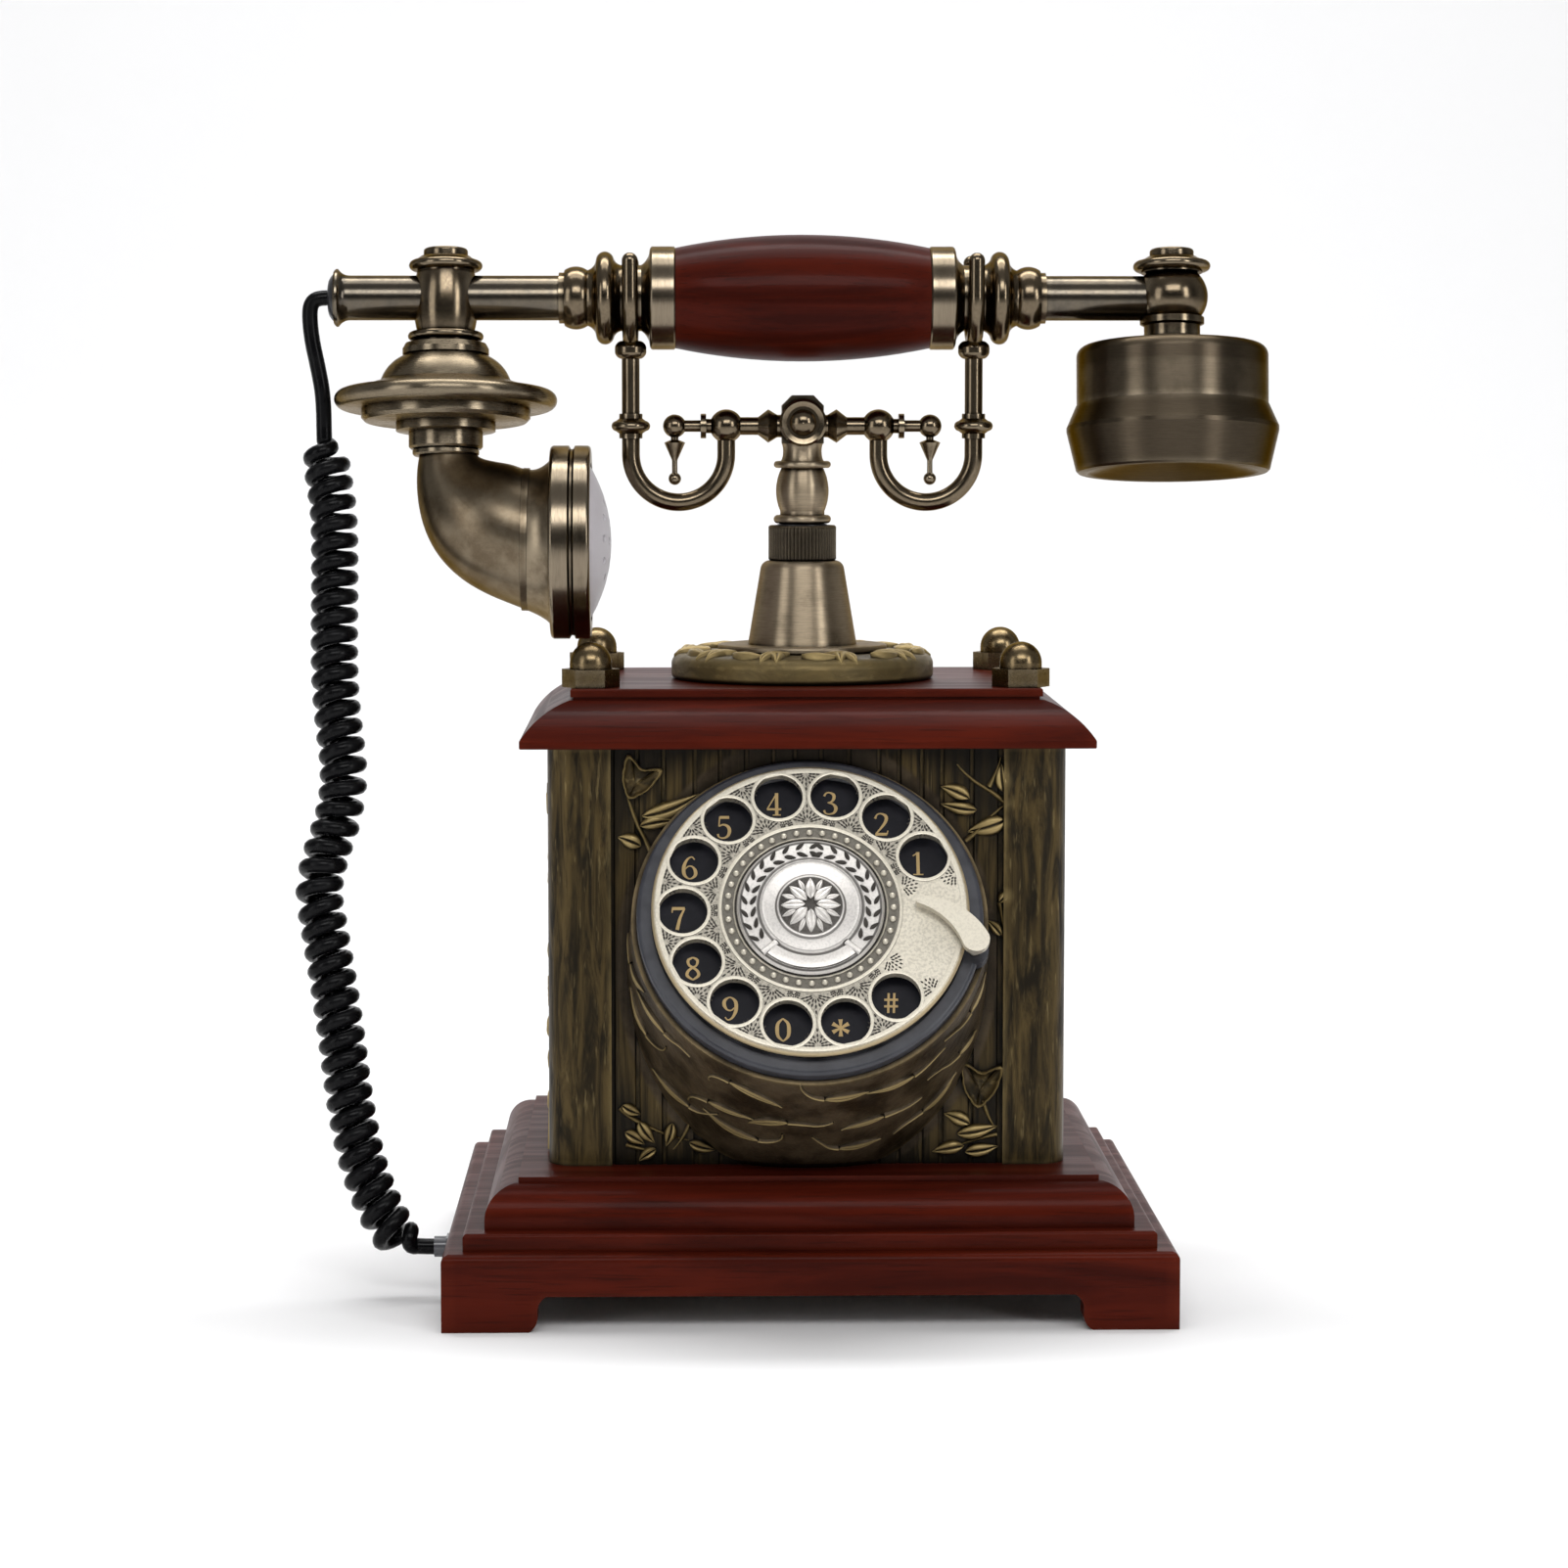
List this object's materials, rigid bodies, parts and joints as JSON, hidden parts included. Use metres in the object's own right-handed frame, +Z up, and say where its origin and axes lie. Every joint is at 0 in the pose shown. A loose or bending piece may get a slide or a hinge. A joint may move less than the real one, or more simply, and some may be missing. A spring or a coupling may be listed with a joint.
{
  "type": "cradle telephone",
  "caption": "French-style cradle telephone: wooden plinth and lid, bronze casing with a sloping finger-wheel dial, and a brass handset in a sprung two-hook cradle on a curly cord.",
  "frame": {"origin": "on the table, below the middle of the telephone's box without its cord", "axes": "+Z up, +X to the right of a viewer who faces the dial, -Y to that viewer; the handset lies along X"},
  "size_m": [0.2863, 0.192, 0.3042],
  "materials": {
    "mahogany": "red-brown lacquered mahogany, semi-gloss",
    "bronze_resin": "dark antique bronze paint over cast resin, gold rubbed on the high edges",
    "fibreboard": "dark hardboard",
    "steel": "plain bright steel",
    "antique_brass": "antique brass, darkened in the grooves",
    "brassed_alloy": "light alloy with brushed antique brass plating",
    "antique_silver": "antique silver plating with dark patina",
    "black_plastic": "black moulded plastic",
    "plate_black": "near-black plate with gold numerals",
    "pale_plastic": "pale grey moulded plastic",
    "circuit_green": "green printed circuit laminate",
    "clear_plastic": "smoked clear moulded plug",
    "cord_black": "glossy black cord"
  },
  "bodies": {
    "base": {"plinth_skirt": "mahogany", "plinth_board": "mahogany", "base_cover": "fibreboard", "casing": "bronze_resin", "lid": "mahogany", "tie_rods": "steel", "tie_rod_nuts": "steel", "acorn_nuts": "antique_brass", "pedestal_flange": "bronze_resin", "pedestal_cone": "brassed_alloy", "knurled_collar": "antique_brass", "dial_ring": "black_plastic", "dial_chassis": "steel", "number_plate": "plate_black", "circuit_board": "circuit_green", "board_standoffs": "pale_plastic", "ringer": "black_plastic", "hook_switch": "black_plastic", "return_spring": "steel", "handset_jack": "black_plastic", "line_jack": "black_plastic", "cord_plug": "clear_plastic", "cord_lead": "cord_black", "cord_coil": "cord_black"},
    "cradle": {"plunger_rod": "steel", "cradle_column": "antique_brass", "cradle_head": "antique_brass", "head_boss": "antique_brass", "crossarm_left": "antique_brass", "crossarm_right": "antique_brass", "hook_left": "antique_brass", "hook_right": "antique_brass", "fork_left": "antique_brass", "fork_right": "antique_brass", "pendants": "antique_brass"},
    "handset": {"grip": "mahogany", "ferrule_left": "antique_brass", "ferrule_right": "antique_brass", "neck_left": "antique_brass", "neck_right": "antique_brass", "tube_left": "antique_brass", "tube_right": "antique_brass", "tee_left": "antique_brass", "tee_right": "antique_brass", "finial_caps": "antique_brass", "transmitter_flange": "brassed_alloy", "elbow_horn": "brassed_alloy", "mouthpiece_ring": "brassed_alloy", "mouthpiece_face": "pale_plastic", "microphone_capsule": "black_plastic", "receiver_cup": "brassed_alloy", "receiver_cap": "brassed_alloy", "receiver_capsule": "black_plastic", "cord_grommet": "black_plastic"},
    "dial": {"finger_wheel": "antique_silver", "dial_badge": "antique_silver", "dial_shaft": "steel", "drive_gear": "antique_brass"},
    "governor": {"governor": "antique_brass"},
    "redial_key": {"finger_stop": "antique_silver"}
  },
  "joints": [
    {"name": "handset_lift", "type": "slide", "parent": "base", "child": "handset", "axis": [0, 0, 1], "range_m": [0, 0.12]},
    {"name": "cradle_travel", "type": "slide", "parent": "base", "child": "cradle", "axis": [0, 0, 1], "range_m": [0, 0.004], "deforming": ["return_spring"]},
    {"name": "dial_turn", "type": "hinge", "parent": "base", "child": "dial", "pos_m": [0, -0.0664, 0.1127], "axis": [0, -0.848, 0.5299], "range_deg": [-320, 0], "stiffness_Nm_per_rad": 0.006, "springref_deg": 28.65},
    {"name": "governor_spin", "type": "hinge", "parent": "base", "child": "governor", "pos_m": [0, -0.05289, 0.13432], "axis": [0, -0.848, 0.5299], "range_deg": [-5, 1240]},
    {"name": "redial_press", "type": "slide", "parent": "base", "child": "redial_key", "axis": [0, 0.848, -0.5299], "range_m": [0, 0.0015], "stiffness_N_per_m": 300, "springref_m": -0.001}
  ],
  "couplings": [
    {"joint": "cradle_travel", "follows": "handset_lift", "ratio": 0.033333},
    {"joint": "governor_spin", "follows": "dial_turn", "ratio": -3.8571}
  ]
}
